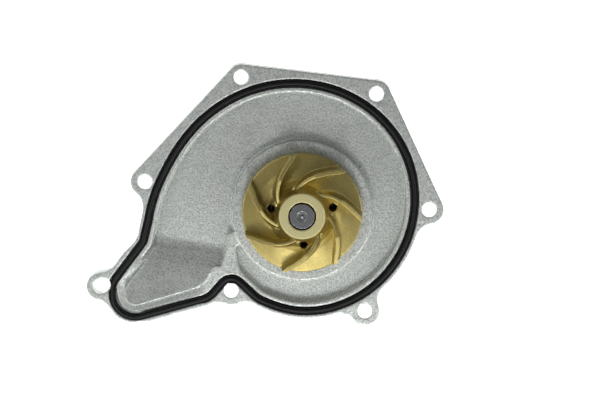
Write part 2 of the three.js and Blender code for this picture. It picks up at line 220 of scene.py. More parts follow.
def groove_radius(angle):
    """The spiral's radius at an angle: a smooth curve through its pairs."""
    angles, radii = np.array(GROOVE_SPIRAL, float).T
    slopes = np.empty(len(angles))
    slopes[1:-1] = (radii[2:] - radii[:-2]) / (angles[2:] - angles[:-2])
    slopes[0] = (radii[1] - radii[0]) / (angles[1] - angles[0])
    slopes[-1] = (radii[-1] - radii[-2]) / (angles[-1] - angles[-2])
    i = min(max(int(np.searchsorted(angles, angle, side="right")) - 1, 0), len(angles) - 2)
    span = angles[i + 1] - angles[i]
    t = (angle - angles[i]) / span
    rise = t * t * (3 - 2 * t)
    bend = t * (1 - t) * span * (slopes[i] * (1 - t) - slopes[i + 1] * t)
    return radii[i] + (radii[i + 1] - radii[i]) * rise + bend


def spiral(start, end, step, inward=0.0):
    points = []
    for angle in np.linspace(start, end, round((end - start) / step) + 1):
        radius, turn = groove_radius(angle) - inward, math.radians(angle)
        points.append((radius * math.cos(turn), radius * math.sin(turn), 0))
    return points


# Centreline of the seal groove
GROOVE_LINE = rounded(
    spiral(250, 543, 2)
    + [
        (-75.8, -14.9, 6),
        (-90.9, -35, 8),
        (-90.9, -55.2, 11),
        (-44.5, -42.1, 10),
        (-34.2, -30.3, 5.9),
        (-20.9, -42.9, 14),
    ]
)

# The end of the wet chamber's outline, at the tongue beside the round boss
TONGUE = [
    (-38.6, -26.9, 1.5),
    (-36.6, -19.5, 10),
    (-35.4, -11.2, 3),
    (-28.5, -9, 0),
    (-28.5, -15.5, 0),
    (-31.4, -17.5, 1),
    (-30.6, -28.2, 12),
    (-18.6, -39.6, 10),
]
# Inner edge of the land: the wet chamber with its outlet channel
CHAMBER_LINE = rounded(
    spiral(252, 543, 2, LAND_OFFSET)
    + [
        (-72.0, -16.7, 8),
        (-86.9, -36.3, 4),
        (-86.9, -49.9, 5),
        (-47.8, -36.4, 11),
        (-41.9, -26.6, 2),
    ]
    + TONGUE
)
# The outlet's raised floor
PLATEAU_LINE = rounded(
    [
        (-76.0, -25.3, 0.6),
        (-84.7, -36.4, 5),
        (-84.7, -47.3, 5.3),
        (-47.8, -36.4, 11),
        (-41.9, -26.6, 2),
        (-38.6, -26.9, 1.5),
        (-38.6, -20.0, 1),
        (-70.0, -18.0, 1),
    ]
)


# ---- Distance fields ----

# A distance that stands for nowhere near
FAR = 9


def outline_distance(path, x, y, closed=True):
    """Distance to an outline, negative inside it when it is closed."""
    nearest = np.full(x.shape, np.inf, np.float32)
    inside = np.zeros(x.shape, bool)
    ends = np.roll(path, -1, axis=0)
    count = len(path) if closed else len(path) - 1
    for (ax, ay), (bx, by) in zip(path[:count], ends[:count]):
        ex, ey = bx - ax, by - ay
        length = ex * ex + ey * ey
        if length < 1e-12:
            continue
        px, py = x - ax, y - ay
        t = np.clip((px * ex + py * ey) / length, 0, 1)
        np.minimum(nearest, (px - t * ex) ** 2 + (py - t * ey) ** 2, out=nearest)
        if closed and ay != by:
            inside ^= ((ay > y) != (by > y)) & (px < ex * py / ey)
    distance = np.sqrt(nearest)
    return np.where(inside, -distance, distance) if closed else distance


def either(a, b, soft=0.0):
    """The union of two fields, with a fillet about as wide as soft."""
    if not soft:
        return np.minimum(a, b)
    h = np.maximum(soft - np.abs(a - b), 0) / soft
    return np.minimum(a, b) - h * h * soft / 4


def both(a, b, soft=0.0):
    return -either(-a, -b, soft)


def without(a, b, soft=0.0):
    return both(a, -b, soft)


def turned_field(profile, radius, zs, reach):
    """The field of a profile of (radius, height) pairs turned about the shaft axis."""
    table_r = np.arange(0, reach, 0.1, dtype=np.float32)
    grid_r, grid_z = np.meshgrid(table_r, zs, indexing="ij")
    mirrored = np.vstack([profile, [(-r, z) for r, z in profile[::-1]]])
    table = outline_distance(np.array(mirrored, float), grid_r, grid_z)
    layers = [np.interp(radius, table_r, layer).astype(np.float32) for layer in table.T]
    return np.stack(layers, axis=-1)


CORNERS = [(i, j, k) for i in (0, 1) for j in (0, 1) for k in (0, 1)]
PAIRS = [(a, b) for a in range(8) for b in range(a + 1, 8)]
EDGES = [(a, b) for a, b in PAIRS if sum(np.abs(np.subtract(CORNERS[a], CORNERS[b]))) == 1]


def surface_of(field, axes):
    """A mesh of the field's zero surface, one vertex in each cell that the surface crosses."""
    inside = field < 0
    size = np.array(field.shape) - 1

    def at(corner):
        return tuple(slice(c, c + n) for c, n in zip(corner, size))

    count = sum(inside[at(c)].astype(np.int8) for c in CORNERS)
    active = (count > 0) & (count < 8)
    cells = np.argwhere(active)
    number = np.full(active.shape, -1, np.int32)
    number[active] = np.arange(len(cells))
    values = np.stack([field[tuple((cells + c).T)] for c in CORNERS], axis=1)
    total, hits = np.zeros((len(cells), 3)), np.zeros(len(cells))
    for a, b in EDGES:
        crossed = (values[:, a] < 0) != (values[:, b] < 0)
        part = values[crossed, a] / (values[crossed, a] - values[crossed, b])
        step = np.subtract(CORNERS[b], CORNERS[a])
        total[crossed] += np.array(CORNERS[a]) + part[:, None] * step
        hits[crossed] += 1
    place = cells + total / hits[:, None]
    vertices = np.column_stack([np.interp(place[:, i], np.arange(len(axes[i])), axes[i]) for i in range(3)])
    faces = []
    for axis in range(3):
        u, v = (axis + 1) % 3, (axis + 2) % 3
        low = [slice(None)] * 3
        high = [slice(None)] * 3
        low[axis], high[axis] = slice(None, -1), slice(1, None)
        flips = inside[tuple(low)] != inside[tuple(high)]
        spots = np.argwhere(flips)
        above, below = spots[:, [u, v]] > 0, spots[:, [u, v]] < size[[u, v]]
        spots = spots[above.all(axis=1) & below.all(axis=1)]
        ring = []
        for du, dv in ((1, 1), (0, 1), (0, 0), (1, 0)):
            cell = spots.copy()
            cell[:, u] -= du
            cell[:, v] -= dv
            ring.append(number[tuple(cell.T)])
        quads = np.column_stack(ring)
        outward = inside[tuple(spots.T)]
        quads[~outward] = quads[~outward][:, ::-1]
        faces.append(quads)
    return vertices, np.vstack(faces)


def sleeve_faces(rows, around):
    """Faces that join rows of points round a closed section into a sleeve, with a cap at each end."""
    faces = []
    for i in range(rows - 1):
        for j in range(around):
            k = (j + 1) % around
            faces.append([i * around + j, i * around + k, (i + 1) * around + k, (i + 1) * around + j])
    faces.append(list(range(around))[::-1])
    faces.append([(rows - 1) * around + j for j in range(around)])
    return faces


def flat_grid(xs, ys):
    return (a.astype(np.float32) for a in np.meshgrid(xs, ys, indexing="ij"))


def steps(start, end, step):
    return np.linspace(start, end, int(round((end - start) / step)) + 1)


# ---- Cover ----


def slot_ends():
    x, y = BOLTS["outlet"]
    dx, dy = SLOT_HALF_STRETCH * math.cos(SLOT_ANGLE), SLOT_HALF_STRETCH * math.sin(SLOT_ANGLE)
    return np.array([(x - dx, y - dy), (x + dx, y + dy)])


def filleted_union(outlines, x, y, radius):
    """The field of several outlines joined, with a fillet of one radius in every inner corner."""
    joined = np.min([outline_distance(one, x, y) for one in outlines], axis=0)
    rims = []
    for i, one in enumerate(outlines):
        dense = resampled(one, 0.4)
        rim = dense - inward_normals(dense) * radius
        others = [outline_distance(o, rim[:, 0], rim[:, 1]) for j, o in enumerate(outlines) if j != i]
        rims.append(rim[np.min(others, axis=0) > radius - 0.02])
    rim = np.vstack(rims).astype(np.float32)
    near = (joined > -4) & (joined < radius)
    px, py = x[near], y[near]
    reach = np.full(px.shape, np.inf, np.float32)
    for rx, ry in rim:
        np.minimum(reach, (px - rx) ** 2 + (py - ry) ** 2, out=reach)
    field = joined.copy()
    field[near] = radius - np.sqrt(reach)
    return field


# Thicker edge of the cover between the outlet's lug and the left one
OUTLET_WEB = np.array([(-79.2, -14.6), (-85.5, -20.6), (-91.0, -28.4), (-88.0, -34.0), (-76.0, -18.0)])


def lug_outline(name):
    """The outline of one lug, drawn out along the slot at the outlet."""
    if name == "outlet":
        return hull(np.vstack([circle(end, LUG_RADII[name]) for end in slot_ends()]))
    return circle(BOLTS[name], LUG_RADII[name])


def cover_outline(x, y):
    corners = [lug_outline(name) for name in ("left", "top_left", "top_right", "right")]
    lip = resampled(GROOVE_LINE, 1.0)
    lip = lip - inward_normals(lip) * (LIP_OFFSET - 0.6 * narrowing(lip[:, 0], lip[:, 1]))[:, None]
    free_lugs = [lug_outline(name) for name in ("outlet", "bottom_left", "bottom_right")]
    flange = hull(np.vstack(corners))
    neck = hull(np.vstack([lug_outline("bottom_right"), circle((22, -36), 10)]))
    return filleted_union([flange, lip, OUTLET_WEB, neck, *free_lugs], x, y, FILLET_RADIUS)


def soft_step(s, width):
    """A ramp that is 0 for negative s and s for positive s, rounded within a width of its start."""
    return np.where(s > width, s, np.maximum(s + width, 0) ** 2 / (4 * width))


# Where the outlet's ramp starts, and the way it climbs: down and to the left in the flange plane
RAMP_START = (-71, -13.5)
RAMP_WAY = (-0.176, -0.984)


def outlet_rise(x, y):
    """Height of the outlet's floor above the chamber's: a steep ramp up to the land, then a gentle one."""
    along = (x - RAMP_START[0]) * RAMP_WAY[0] + (y - RAMP_START[1]) * RAMP_WAY[1]
    return 0.44 * soft_step(along, 1.8) - 0.25 * soft_step(along - 13, 4.0)


def slot_field(x, y, radius):
    return outline_distance(slot_ends(), x, y, closed=False) - radius


def bolt_field(x, y, radius):
    round_holes = [np.hypot(x - bx, y - by) for name, (bx, by) in BOLTS.items() if name != "outlet"]
    return np.minimum(np.min(round_holes, axis=0) - radius, slot_field(x, y, radius))


def inside_groove(x, y):
    """Signed distance from the groove's centreline, positive inside it."""
    return -outline_distance(GROOVE_LINE, x, y)


def narrowing(x, y):
    """1 where the seal and its groove are narrower, round the closed end of the outlet, and 0 elsewhere."""
    return np.clip((-36 - y) / 3, 0, 1) * np.clip((-75.6 - x) / 0.6, 0, 1)


def outlet_ledge(x, y):
    """How far a ledge beside the seal reaches in from the groove's centreline at the outlet's closed end."""
    return 1.9 + 0.85 * np.clip((-48 - x) / 27, 0, 1) * np.clip((-37 - y) / 6, 0, 1)


RIB_START = 14
RIB_FOOT_RADIUS = 22
RIB_FOOT_HEIGHT = 30
RIB_HALF_WIDTH = 1.7
RIB_DRAFT = 0.02


def rib_fields(x, y, z):
    """Thin ribs on the back, from the bearing boss out to each lug, deeper towards the boss."""
    for bx, by in BOLTS.values():
        length = math.hypot(bx, by)
        along, across = (x * bx + y * by) / length, (y * bx - x * by) / length
        reach = length - 6
        slope = (FLANGE_BACK - 2 - RIB_FOOT_HEIGHT) / (reach - RIB_FOOT_RADIUS)
        underside = (RIB_FOOT_HEIGHT + slope * (along - RIB_FOOT_RADIUS) - z) / math.hypot(1, slope)
        draft = RIB_DRAFT * (z - RIB_FOOT_HEIGHT)
        side = np.abs(across) - RIB_HALF_WIDTH - draft
        yield both(both(side, underside, 1.2), np.maximum(RIB_START - along, along - reach))


def cover_field(axes):
    flat_x, flat_y = flat_grid(axes[0], axes[1])
    x, y = flat_x[..., None], flat_y[..., None]
    z = axes[2].astype(np.float32)[None, None, :]
    radius = np.hypot(flat_x, flat_y)
    depth = FLANGE_FACE - z

    # The plate and its lugs, with the bearing boss and ribs behind
    side = inside_groove(flat_x, flat_y)[..., None]
    wall = outline_distance(CHAMBER_LINE, flat_x, flat_y)[..., None]
    reach = outlet_ledge(x, y)
    outlet = np.clip((-47 - x) / 6, 0, 1) * np.clip((-27 - y) / 6, 0, 1)
    hollow = 0.24 * outlet * np.clip(side - reach, 0, 5)
    rim = cover_outline(flat_x, flat_y)[..., None] + RIM_DRAFT * depth
    plate = both(rim, np.maximum(-depth + hollow, FLANGE_BACK - z), 0.22)
    lugs = np.min([outline_distance(lug_outline(name), flat_x, flat_y) for name in BOLTS], axis=0)
    seats = both(lugs[..., None] + 0.2, np.maximum(COVER_SEATS - z, z - SEAT_TOP), 0.6)
    body = either(plate, seats, 0.8)
    boss_profile = [
        (0, COVER_BACK),
        (BEARING_BOSS_RADIUS - 1.2, COVER_BACK),
        (BEARING_BOSS_RADIUS, COVER_BACK + 1.2),
        (BEARING_BOSS_RADIUS + 2, FLANGE_BACK - 8),
        (BEARING_BOSS_RADIUS + 5, FLANGE_BACK + 2),
        (0, FLANGE_BACK + 2),
    ]
    back = turned_field(boss_profile, radius, axes[2], 120)
    for rib in rib_fields(x, y, z):
        back = either(back, rib, 3.0)
    back = np.maximum(back, z - (FLANGE_FACE - 3))
    body = either(body, back, 4.0)

    # The seal groove, with a ledge inside it at the outlet
    tight = np.clip((-37 - y) / 3, 0, 1) * np.clip((-46 - x) / 3, 0, 1)
    inner_half = GROOVE_HALF_WIDTH - 0.4 * tight - 0.25 * narrowing(x, y)
    groove = np.maximum(-side - GROOVE_HALF_WIDTH + 0.4 * tight, side - inner_half) + WALL_DRAFT * depth
    groove = both(groove, GROOVE_BOTTOM - z, 0.6)
    ledge_top = FLANGE_FACE - 0.75 - 0.2 * (reach - side)
    ledge = np.maximum(np.maximum(side - reach, -side), ledge_top - z)
    groove = np.minimum(groove, np.where(outlet > 0, ledge, FAR))
    groove = np.maximum(groove, -slot_field(flat_x, flat_y, BOLT_RADIUS + SLOT_WALL)[..., None])
    body = without(body, groove, 0.35)

    # The wet chamber, the outlet's raised floor and the round boss
    rise = outlet_rise(flat_x, flat_y)[..., None]
    rise = np.where(x < -33.3, rise, 0)
    chamber = both(wall + WALL_DRAFT * depth, CHAMBER_FLOOR + rise - z, 0.35)
    body = without(body, chamber, 0.35)
    plateau = outline_distance(PLATEAU_LINE, flat_x, flat_y)[..., None] - 0.15 - 0.08 * depth
    plateau = both(plateau, z - CHAMBER_FLOOR - rise, 0.6)
    plateau = np.maximum(plateau, CHAMBER_FLOOR - 1 - z)
    body = either(body, plateau, 0.3)
    boss = both(radius[..., None] - BOSS_RADIUS - 0.05 * (BOSS_TOP - z), z - BOSS_TOP, 0.35)
    boss = np.maximum(boss, CHAMBER_FLOOR - 1 - z)
    body = either(body, boss, 0.6)

    # Bores, fixing holes, ejector marks and the weep hole
    bore_profile = [
        (0, COVER_BACK - 5),
        (BEARING_RADIUS + 1.2, COVER_BACK - 5),
        (BEARING_RADIUS + 1.2, COVER_BACK),
        (BEARING_RADIUS + FIT_GAP, COVER_BACK + 1),
        (BEARING_RADIUS + FIT_GAP, BEARING_STOP),
        (STOP_RADIUS, BEARING_STOP),
        (STOP_RADIUS, SEAL_BORE_BOTTOM),
        (SEAL_BORE_RADIUS, SEAL_BORE_BOTTOM),
        (SEAL_BORE_RADIUS, BOSS_TOP - 0.5),
        (SEAL_BORE_RADIUS + 1, BOSS_TOP + 0.5),
        (SEAL_BORE_RADIUS + 1, BOSS_TOP + 20),
        (0, BOSS_TOP + 20),
    ]
    body = without(body, turned_field(bore_profile, radius, axes[2], 120), 0.3)
    body = without(body, bolt_field(flat_x, flat_y, BOLT_RADIUS)[..., None], 0.15)
    for mark_x, mark_y in round_the_axis(EJECTOR_CIRCLE, EJECTOR_ANGLES):
        mark = np.hypot(x - mark_x, y - mark_y) - EJECTOR_RADIUS
        body = without(body, np.maximum(mark, z - FLANGE_BACK - EJECTOR_DEPTH), 0.3)
    weep = np.maximum(np.hypot(x, z - WEEP_HOLE_HEIGHT) - WEEP_HOLE_RADIUS, y)
    return without(body, weep, 0.6)


def cover_mesh():
    low, high = (np.array(corner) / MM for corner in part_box("pump_housing"))
    heights = np.concatenate([steps(low[2] - 1, 57, 0.8)[:-1], steps(57, high[2] + 2, 0.35)])
    axes = [steps(low[i] - 1.5, high[i] + 1.5, COVER_STEP) for i in (0, 1)] + [heights]
    return surface_of(cover_field(axes), axes)


# ---- Profile seal ----

# Inner half of the bead's section, a rounded middle between two thin ribs: (offset outwards, height)
SEAL_FLANK = [
    (-1.35, 0.0),
    (-1.5, 0.2),
    (-1.5, 2.7),
    (-1.44, 3.0),
    (-1.3, 3.06),
    (-1.14, 2.9),
    (-1.02, 2.62),
    (-0.92, 2.72),
    (-0.84, 3.3),
    (-0.64, 3.66),
    (-0.3, 3.78),
]
SEAL_SECTION = SEAL_FLANK + [(0.0, 3.8)] + [(-offset, up) for offset, up in SEAL_FLANK[::-1]]
SEAL_NUBS = [(-74.7, -50.6), (-20.3, 61.4), (49.6, -21.5)]


def seal_mesh():
    """The bead swept along the groove, thinner where it passes the slot, with nubs that grip the wall."""
    path = resampled(GROOVE_LINE, 0.5)
    inward = inward_normals(path)
    foot = GROOVE_BOTTOM + 0.1
    slim = narrowing(path[:, 0], path[:, 1])
    room = slot_field(path[:, 0], path[:, 1], BOLT_RADIUS) - SLOT_WALL - 0.3
    outer = np.minimum(1 - 0.1 * slim, np.clip(room / 1.5, 0.4, 1))
    inner = 1 - 0.22 * slim
    for nub in SEAL_NUBS:
        inner = inner + 0.25 * np.exp(-((np.hypot(*(path - nub).T) / 0.7) ** 2))
    rows = []
    for offset, up in SEAL_SECTION:
        width = np.where(offset > 0, outer, inner) * offset
        rows.append(np.column_stack([path - inward * width[:, None], np.full(len(path), foot + up)]))
    vertices = np.vstack(rows)
    n, m = len(path), len(rows)
    i, j = np.meshgrid(np.arange(m), np.arange(n), indexing="ij")
    ahead, around = (j + 1) % n, (i + 1) % m
    quads = np.stack([i * n + j, i * n + ahead, around * n + ahead, around * n + j], axis=-1).reshape(-1, 4)
    return vertices, quads[:, ::-1]


# ---- Impeller ----

VANE_COUNT = 7
VANE_WRAP = 59.5
FIRST_VANE_TIP = 98.3
VANE_BREAK = 19.5
BALANCE_HOLE_ANGLES = (12, 170.7, 273.3)
BALANCE_HOLE_CIRCLE = 14.9
BALANCE_HOLE_RADIUS = 1.88

# Section of the disc and its hub: (radius, height)
DISC_PROFILE = [
    (0, DISC_BACK),
    (IMPELLER_RADIUS - 0.4, DISC_BACK),
    (IMPELLER_RADIUS, DISC_BACK + 0.4),
    (IMPELLER_RADIUS, DISC_RIM - 0.3),
    (IMPELLER_RADIUS - 0.3, DISC_RIM),
    (22, DISC_RIM + 0.9),
    (18.5, DISC_RIM + 1.8),
    (16.0, DISC_RIM + 3.0),
    (14.0, DISC_RIM + 4.7),
    (12.6, DISC_RIM + 6.9),
    (11.7, DISC_RIM + 9.0),
    (IMPELLER_HUB_RADIUS + 0.2, HUB_FACE - 0.4),
    (IMPELLER_HUB_RADIUS - 0.2, HUB_FACE),
    (0, HUB_FACE),
]
# Height of the vanes' crests: (radius, height)
VANE_CREST = [(9, DISC_RIM + 6.6), (VANE_BREAK, DISC_RIM + 8.4), (IMPELLER_RADIUS, DISC_RIM + 7)]

# Half of a vane's section: (offset from the middle, share of its height, extra height)
VANE_FLANK = [
    (2.5, 0, -0.6),
    (2.15, 0, 0.0),
    (1.8, 0, 0.22),
    (1.52, 0.12, 0.3),
    (1.36, 0.3, 0.3),
    (1.16, 0.75, 0.2),
    (1.06, 1, -0.35),
]


def vane_point(radius):
    inward = max(0.0, (IMPELLER_RADIUS - radius) / (IMPELLER_RADIUS - 11))
    turn = math.radians(FIRST_VANE_TIP + VANE_WRAP * inward**1.35)
    return np.array((radius * math.cos(turn), radius * math.sin(turn)))


def vane_mesh():
    """One vane, leaning back against the turn: its crest is rounded near the hub and flat further out."""
    slope_r, slope_z = np.array(DISC_PROFILE[3:-1]).T[:, ::-1]
    crest_r, crest_z = np.array(VANE_CREST).T
    stations = np.concatenate([np.arange(11.4, VANE_BREAK, 0.5), np.arange(VANE_BREAK, IMPELLER_RADIUS, 0.5)])
    stations = np.append(stations, IMPELLER_RADIUS - 0.05)
    vertices = []
    for radius in stations:
        middle_point = vane_point(radius)
        along = vane_point(radius + 0.05) - vane_point(radius - 0.05)
        across = np.array((-along[1], along[0])) / np.linalg.norm(along)
        top = np.interp(radius, crest_r, crest_z)
        bottom = min(np.interp(radius, slope_r, slope_z), top - 0.6)
        edge = 0.62 if radius < VANE_BREAK else 0.26
        flank = [(offset, bottom + share * (top - bottom) + extra) for offset, share, extra in VANE_FLANK]
        flank += [(1.02 - 0.1 * edge, top - edge), (1.0 - 0.35 * edge, top - 0.3 * edge), (1.0 - edge, top)]
        flank += [(0.9 - edge, top)]
        section = flank + [(-offset, up) for offset, up in flank[::-1]]
        for offset, up in section:
            x, y = middle_point + across * offset
            if radius > IMPELLER_RADIUS - 3:
                room = (IMPELLER_RADIUS - 0.05) / max(math.hypot(x, y), 1)
                share = (radius - IMPELLER_RADIUS + 3) / 3
                stretch = 1 + (room - 1) * (share if room > 1 else 1) ** (4 if room > 1 else 1)
                x, y = x * stretch, y * stretch
            vertices.append((x, y, up))
    return np.array(vertices), sleeve_faces(len(stations), len(section))


def impeller_mesh():
    side = steps(-IMPELLER_RADIUS - 1, IMPELLER_RADIUS + 1, 0.28)
    heights = steps(DISC_BACK - 1, HUB_FACE + 1, 0.26)
    x, y = flat_grid(side, side)
    radius = np.hypot(x, y)
    field = turned_field(DISC_PROFILE, radius, heights, 45)
    for hole_x, hole_y in round_the_axis(BALANCE_HOLE_CIRCLE, BALANCE_HOLE_ANGLES):
        hole = np.hypot(x - hole_x, y - hole_y)
        field = without(field, hole[..., None] - BALANCE_HOLE_RADIUS, 0.4)
    bore_profile = [
        (0, DISC_BACK - 5),
        (12.4, DISC_BACK - 5),
        (12.4, DISC_BACK + 1.8),
        (SHAFT_NOSE_RADIUS + FIT_GAP, DISC_BACK + 1.8),
        (SHAFT_NOSE_RADIUS + FIT_GAP, HUB_FACE - 0.3),
        (SHAFT_NOSE_RADIUS + FIT_GAP + 0.3, HUB_FACE),
        (SHAFT_NOSE_RADIUS + FIT_GAP + 0.3, HUB_FACE + 5),
        (0, HUB_FACE + 5),
    ]
    field = without(field, turned_field(bore_profile, radius, heights, 45), 0.2)
    vertices, faces = surface_of(field, [side, side, heights])
    vertices, faces = [vertices], faces.tolist()
    vane, panels = vane_mesh()
    for i in range(VANE_COUNT):
        turn = 2 * math.pi * i / VANE_COUNT
        c, s = math.cos(turn), math.sin(turn)
        start = sum(map(len, vertices))
        vertices.append(vane @ np.array([(c, s, 0), (-s, c, 0), (0, 0, 1)]))
        faces += [[start + corner for corner in panel] for panel in panels]
    return np.vstack(vertices), faces


# ---- Turned and threaded pieces ----


def held(section, gap=0.12):
    """A closed section with extra points beside its corners, so that smooth shading keeps its flats flat."""
    kept = []
    for here, after in zip(section, np.roll(section, -1, axis=0)):
        kept.append(here)
        length = np.linalg.norm(after - here)
        if length > 4 * gap:
            kept.append(here + (after - here) * gap / length)
            kept.append(after - (after - here) * gap / length)
    return np.array(kept)


def lathe(profile, segments=128, arc_step=30):
    """A closed profile of (radius, height, corner radius) turned about the shaft axis."""
    section = held(rounded(profile, arc_step))
    turn = np.linspace(0, 2 * math.pi, segments, endpoint=False)
    vertices, rings = [], []
    for r, z in section:
        if r < 1e-6:
            rings.append([len(vertices)] * segments)
            vertices.append((0.0, 0.0, z))
        else:
            rings.append(list(range(len(vertices), len(vertices) + segments)))
            vertices.extend(zip(r * np.cos(turn), r * np.sin(turn), np.full(segments, z)))
    faces = []
    count = len(section)
    for i in range(count):
        lower, upper = rings[i], rings[(i + 1) % count]
        if lower[0] == lower[1] and upper[0] == upper[1]:
            continue
        for j in range(segments):
            k = (j + 1) % segments
            face = [lower[j], lower[k], upper[k], upper[j]]
            faces.append(list(dict.fromkeys(face)))
    return np.array(vertices), faces


def ring_profile(inner, outer, bottom, top, edge=0.3):
    return [(inner, bottom, edge), (outer, bottom, edge), (outer, top, edge), (inner, top, edge)]


def shaft_mesh():
    profile = [
        (0, 0, 0),
        (SHAFT_RADIUS, 0, 0.8),
        (SHAFT_RADIUS, 52, 0.3),
        (SHAFT_NOSE_RADIUS, 53, 0.3),
        (SHAFT_NOSE_RADIUS, NOSE - 3.2, 0.1),
        (SHAFT_NOSE_RADIUS - 0.45, NOSE - 2.8, 0.1),
        (SHAFT_NOSE_RADIUS - 0.45, NOSE, 0.2),
        (2.5, NOSE, 0.1),
        (2.2, NOSE - 0.15, 0.1),
        (1.5, NOSE - 0.15, 0.1),
        (1.2, NOSE - 0.5, 0.1),
        (0.5, NOSE - 0.4, 0.1),
        (0, NOSE - 0.3, 0),
    ]
    return lathe(profile)


HUB_HOLE_CIRCLE = 22.5
HUB_THREAD_RADIUS = 3.4
HUB_THREAD_PITCH = 1.25


def drive_hub_mesh():
    """The drive hub, with four threaded holes for the pulley."""
    low, high = span_of("drive_hub")
    side = steps(-DRIVE_HUB_RADIUS - 1, DRIVE_HUB_RADIUS + 1, 0.3)
    heights = steps(low - 1, high + 1, 0.25)
    x, y = flat_grid(side, side)
    z = heights.astype(np.float32)[None, None, :]
    radius = np.hypot(x, y)
    profile = [
        (0, low),
        (DRIVE_HUB_RADIUS - 1, low),
        (DRIVE_HUB_RADIUS, low + 1),
        (DRIVE_HUB_RADIUS, low + 6.4),
        (DRIVE_HUB_RADIUS - 0.6, low + 7),
        (17.5, low + 7),
        (15.2, low + 7.6),
        (14, low + 9.4),
        (14, high - 0.6),
        (13.4, high),
        (0, high),
    ]
    field = turned_field(profile, radius, heights, 45)
    for hole_x, hole_y in round_the_axis(HUB_HOLE_CIRCLE, (45, 135, 225, 315)):
        dx, dy = x - hole_x, y - hole_y
        winding = np.arctan2(dy, dx)[..., None] / (2 * math.pi)
        tooth = np.abs(((z / HUB_THREAD_PITCH - winding) % 1) - 0.5)
        thread = np.hypot(dx, dy)[..., None] - HUB_THREAD_RADIUS - 0.45 * tooth
        mouth = np.maximum(0, np.maximum(low + 0.9 - z, z - low - 6.1))
        field = without(field, thread - mouth, 0.15)
    bore_profile = [
        (0, low - 5),
        (SHAFT_RADIUS + 0.7, low - 5),
        (SHAFT_RADIUS + 0.7, low),
        (SHAFT_RADIUS + FIT_GAP, low + 0.5),
        (SHAFT_RADIUS + FIT_GAP, high + 5),
        (0, high + 5),
    ]
    field = without(field, turned_field(bore_profile, radius, heights, 45), 0.2)
    return surface_of(field, [side, side, heights])


# ---- Bearing ----

ROLLING_RADIUS = 2.6
ROLLER_LENGTH = 9.0
ELEMENT_CIRCLE = (SHAFT_RADIUS + RACE_RADIUS) / 2
ELEMENT_COUNTS = {"ball_cage": 9, "roller_cage": 10}


def middle(node):
    """The centre of a CAD node's box, in millimetres."""
    low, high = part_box(node)
    return np.array((low + high) / 2) / MM


def outer_ring_mesh():
    """The bearing's outer ring, with a raceway groove for the balls and a step for each lip seal."""
    low, high = span_of("bearing_outer_ring")
    ball_row = middle("ball_cage")[2]
    outer = BEARING_RADIUS - FIT_GAP
    arc = np.linspace(1.57, -1.57, 9)
    groove = [(RACE_RADIUS + 0.12 * math.cos(a), ball_row + 1.9 * math.sin(a), 0) for a in arc]
    profile = [
        (RACE_RADIUS + 0.25, low, 0.1),
        (outer, low, 0.6),
        (outer, high, 0.6),
        (RACE_RADIUS + 0.25, high, 0.1),
        (RACE_RADIUS, high - 0.9, 0.1),
        *groove,
        (RACE_RADIUS, low + 0.9, 0.1),
    ]
    return lathe(profile)


def lip_seal_mesh(node, inward):
    """A stiff disc with two lips at the shaft; inward is the way its main lip points along the axis."""
    low, high = span_of(node)
    outer, inner = RACE_RADIUS - 0.2, SHAFT_RADIUS + 0.1

    def at(share):
        return low + (high - low) * (share if inward > 0 else 1 - share)

    profile = [
        (inner, at(1.0), 0.1),
        (inner + 0.5, at(1.0), 0.15),
        (inner + 1.3, at(0.72), 0.3),
        (outer - 0.9, at(0.72), 0.2),
        (outer - 0.6, at(0.9), 0.15),
        (outer, at(0.9), 0.2),
        (outer, at(0.1), 0.2),
        (outer - 0.5, at(0.1), 0.2),
        (outer - 0.9, at(0.3), 0.2),
        (inner + 1.2, at(0.3), 0.3),
        (inner + 0.35, at(0.0), 0.1),
        (inner, at(0.0), 0.1),
        (inner + 0.3, at(0.4), 0.15),
    ]
    return lathe(profile if inward < 0 else profile[::-1])


def cage_mesh(node, pocket):
    """A moulded cage: a band round the shaft with a pocket for each rolling element."""
    low, high = (np.array(corner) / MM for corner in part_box(node))
    centre = (low + high) / 2
    reach, half = ELEMENT_CIRCLE + 2, (high[2] - low[2]) / 2
    side = steps(-reach, reach, 0.24)
    heights = steps(-half - 1, half + 1, 0.24)
    x, y, z = np.meshgrid(side, side, heights, indexing="ij")
    ring = np.abs(np.hypot(x, y) - ELEMENT_CIRCLE) - 1.08
    field = both(ring, np.abs(z) - half + 0.02, 0.5)
    count = ELEMENT_COUNTS[node]
    for i in range(count):
        turn = 2 * math.pi * i / count
        along = x * math.cos(turn) + y * math.sin(turn)
        across = y * math.cos(turn) - x * math.sin(turn)
        field = without(field, np.where(along > 0, pocket(across, z), FAR), 0.3)
    vertices, faces = surface_of(field.astype(np.float32), [side, side, heights])
    return vertices + (0, 0, centre[2]), faces


def ball_pocket(across, z):
    """Open on the side that the balls are pressed in from."""
    throat = np.maximum(np.abs(across) - 2.35, -z)
    return np.minimum(np.hypot(across, z) - ROLLING_RADIUS - 0.28, throat)


def roller_pocket(across, z):
    return np.maximum(np.abs(across) - ROLLING_RADIUS - 0.22, np.abs(z) - ROLLER_LENGTH / 2 - 0.28)


def ball_mesh(node):
    arc = [math.radians(a) for a in np.linspace(-90, 90, 25)[1:-1]]
    section = [(ROLLING_RADIUS * math.cos(a), ROLLING_RADIUS * math.sin(a), 0) for a in arc]
    vertices, faces = lathe([(0, -ROLLING_RADIUS, 0), *section, (0, ROLLING_RADIUS, 0)], 40)
    return vertices + middle(node), faces


def roller_mesh(node):
    half = ROLLER_LENGTH / 2
    profile = [(0, -half, 0), (ROLLING_RADIUS, -half, 0.35), (ROLLING_RADIUS, half, 0.35), (0, half, 0)]
    vertices, faces = lathe(profile, 48, 15)
    return vertices + middle(node), faces


# ---- Shaft seal ----


